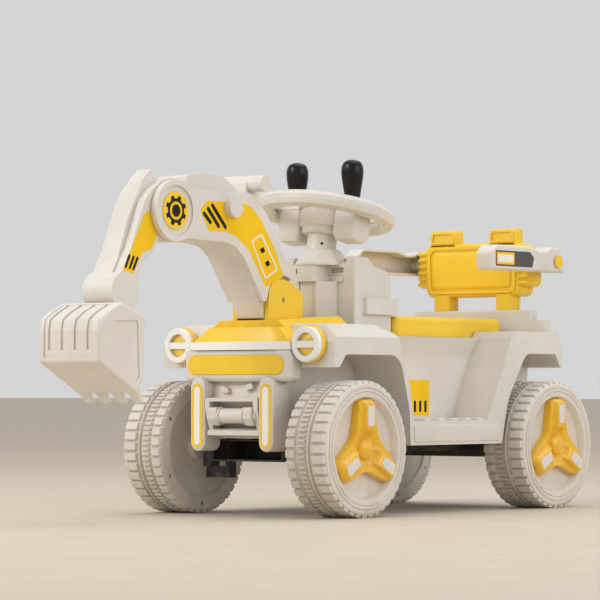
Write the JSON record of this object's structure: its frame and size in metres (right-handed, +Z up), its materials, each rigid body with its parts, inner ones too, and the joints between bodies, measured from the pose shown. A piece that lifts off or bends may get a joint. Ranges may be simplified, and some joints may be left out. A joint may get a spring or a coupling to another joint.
{
  "type": "ride-on toy digger",
  "caption": "Child's ride-on toy digger: treaded wheels, steering wheel with shift levers, hinged digging arm with bucket, seat with backrest and lifting armrests.",
  "frame": {"origin": "on the floor, under the middle of the vehicle's length and width", "axes": "+X to the vehicle's left, -Y towards the bucket (the front), +Z up"},
  "size_m": [0.4458, 1.127, 0.5902],
  "materials": {
    "body_cream": "satin moulded shell, fine grain",
    "wheel_cream": "hard moulded tread, scuffed on the blocks",
    "trim_white": "bright trim",
    "accent_yellow": "semi-gloss moulded colour",
    "insert_silver": "pale silver paint",
    "lamp_clear": "tinted lens, opaque moulding",
    "knob_black": "polished grip",
    "chassis_dark": "matt underbody plastic",
    "pin_steel": "zinc plated",
    "battery_grey": "battery case"
  },
  "bodies": {
    "vehicle": {"chassis_frame": "chassis_dark", "rear_axle": "pin_steel", "gearbox": "chassis_dark", "battery": "battery_grey", "body_shell": "body_cream", "hood": "accent_yellow", "boom_bracket": "accent_yellow", "boom_pin": "pin_steel", "front_bumper": "body_cream", "name_plate": "accent_yellow", "light_bar": "trim_white", "headlight_bezels": "trim_white", "headlight_housings": "accent_yellow", "headlight_lenses": "lamp_clear", "strip_light_rims": "accent_yellow", "strip_light_lenses": "trim_white", "winch": "body_cream", "console": "body_cream", "seat": "accent_yellow", "rear_deck": "body_cream", "backrest_front": "accent_yellow", "backrest_rear": "accent_yellow", "armrest_pivots": "accent_yellow"},
    "boom": {"boom_shell_left": "body_cream", "boom_shell_right": "body_cream", "elbow_pin": "pin_steel", "elbow_caps": "accent_yellow"},
    "stick": {"stick_shell_left": "body_cream", "stick_shell_right": "body_cream", "bucket_pin": "pin_steel"},
    "digging_bucket": {"bucket": "body_cream"},
    "steering": {"steering_wheel_top": "body_cream", "steering_wheel_base": "body_cream", "steering_shaft": "pin_steel"},
    "left_lever": {"lever_left": "knob_black"},
    "right_lever": {"lever_right": "knob_black"},
    "left_knuckle": {"knuckle_left": "chassis_dark"},
    "right_knuckle": {"knuckle_right": "chassis_dark"},
    "track_rod": {"tie_rod": "chassis_dark"},
    "left_armrest": {"armrest_left": "body_cream"},
    "right_armrest": {"armrest_right": "body_cream"},
    "pedal": {"foot_pedal": "knob_black"},
    "start_button": {"power_button": "accent_yellow"},
    "rocker": {"direction_switch": "knob_black"},
    "front_left_wheel": {"wheel_front_left_rim": "wheel_cream", "wheel_front_left_back": "wheel_cream", "wheel_front_left_spider": "accent_yellow", "wheel_front_left_inserts": "insert_silver"},
    "front_right_wheel": {"wheel_front_right_rim": "wheel_cream", "wheel_front_right_back": "wheel_cream", "wheel_front_right_spider": "accent_yellow", "wheel_front_right_inserts": "insert_silver"},
    "rear_left_wheel": {"wheel_rear_left_rim": "wheel_cream", "wheel_rear_left_back": "wheel_cream", "wheel_rear_left_spider": "accent_yellow", "wheel_rear_left_inserts": "insert_silver"},
    "rear_right_wheel": {"wheel_rear_right_rim": "wheel_cream", "wheel_rear_right_back": "wheel_cream", "wheel_rear_right_spider": "accent_yellow", "wheel_rear_right_inserts": "insert_silver"}
  },
  "joints": [
    {"name": "boom_lift", "type": "hinge", "parent": "vehicle", "child": "boom", "pos_m": [0, -0.0885, 0.352], "axis": [1, 0, 0], "range_deg": [-15, 22]},
    {"name": "stick_curl", "type": "hinge", "parent": "boom", "child": "stick", "pos_m": [0, -0.3595, 0.486], "axis": [1, 0, 0], "range_deg": [-30, 25]},
    {"name": "bucket_curl", "type": "hinge", "parent": "stick", "child": "digging_bucket", "pos_m": [0, -0.4675, 0.357], "axis": [1, 0, 0], "range_deg": [-10, 55]},
    {"name": "steering_turn", "type": "hinge", "parent": "vehicle", "child": "steering", "pos_m": [0, 0.0725, 0.505], "axis": [0, 0.2079, 0.9781], "range_deg": [-40, 40]},
    {"name": "left_lever_shift", "type": "hinge", "parent": "steering", "child": "left_lever", "pos_m": [0.059, 0.06959, 0.49131], "axis": [1, 0, 0], "range_deg": [-5, 5]},
    {"name": "right_lever_shift", "type": "hinge", "parent": "steering", "child": "right_lever", "pos_m": [-0.059, 0.06959, 0.49131], "axis": [1, 0, 0], "range_deg": [-5, 5]},
    {"name": "left_kingpin", "type": "hinge", "parent": "vehicle", "child": "left_knuckle", "pos_m": [0.112, -0.0925, 0.11], "axis": [0, 0, 1], "range_deg": [-25, 25]},
    {"name": "right_kingpin", "type": "hinge", "parent": "vehicle", "child": "right_knuckle", "pos_m": [-0.112, -0.0925, 0.11], "axis": [0, 0, 1], "range_deg": [-25, 25]},
    {"name": "track_rod_slide", "type": "slide", "parent": "vehicle", "child": "track_rod", "axis": [1, 0, 0], "range_m": [-0.0195, 0.0195]},
    {"name": "front_left_roll", "type": "hinge", "parent": "left_knuckle", "child": "front_left_wheel", "pos_m": [0.1725, -0.0925, 0.11], "axis": [1, 0, 0], "continuous": true},
    {"name": "front_right_roll", "type": "hinge", "parent": "right_knuckle", "child": "front_right_wheel", "pos_m": [-0.1725, -0.0925, 0.11], "axis": [1, 0, 0], "continuous": true},
    {"name": "rear_left_roll", "type": "hinge", "parent": "vehicle", "child": "rear_left_wheel", "pos_m": [0.1725, 0.4535, 0.11], "axis": [1, 0, 0], "continuous": true},
    {"name": "rear_right_roll", "type": "hinge", "parent": "vehicle", "child": "rear_right_wheel", "pos_m": [-0.1725, 0.4535, 0.11], "axis": [1, 0, 0], "continuous": true},
    {"name": "left_armrest_lift", "type": "hinge", "parent": "vehicle", "child": "left_armrest", "pos_m": [0.145, 0.5315, 0.432], "axis": [-1, 0, 0], "range_deg": [0, 80]},
    {"name": "right_armrest_lift", "type": "hinge", "parent": "vehicle", "child": "right_armrest", "pos_m": [-0.145, 0.5315, 0.432], "axis": [-1, 0, 0], "range_deg": [0, 80]},
    {"name": "pedal_press", "type": "hinge", "parent": "vehicle", "child": "pedal", "pos_m": [-0.132, 0.1335, 0.1605], "axis": [1, 0, 0], "range_deg": [0, 16], "stiffness_Nm_per_rad": 1.2, "springref_deg": -8.59},
    {"name": "start_button_press", "type": "slide", "parent": "vehicle", "child": "start_button", "axis": [0, 0, -1], "range_m": [0, 0.003], "stiffness_N_per_m": 300, "springref_m": -0.001},
    {"name": "rocker_tilt", "type": "hinge", "parent": "vehicle", "child": "rocker", "pos_m": [-0.036, 0.0825, 0.4125], "axis": [1, 0, 0], "range_deg": [-8, 8]}
  ],
  "couplings": [
    {"joint": "left_kingpin", "follows": "steering_turn", "ratio": 0.6},
    {"joint": "right_kingpin", "follows": "steering_turn", "ratio": 0.6},
    {"joint": "track_rod_slide", "follows": "steering_turn", "m_per_rad": -0.0276}
  ]
}
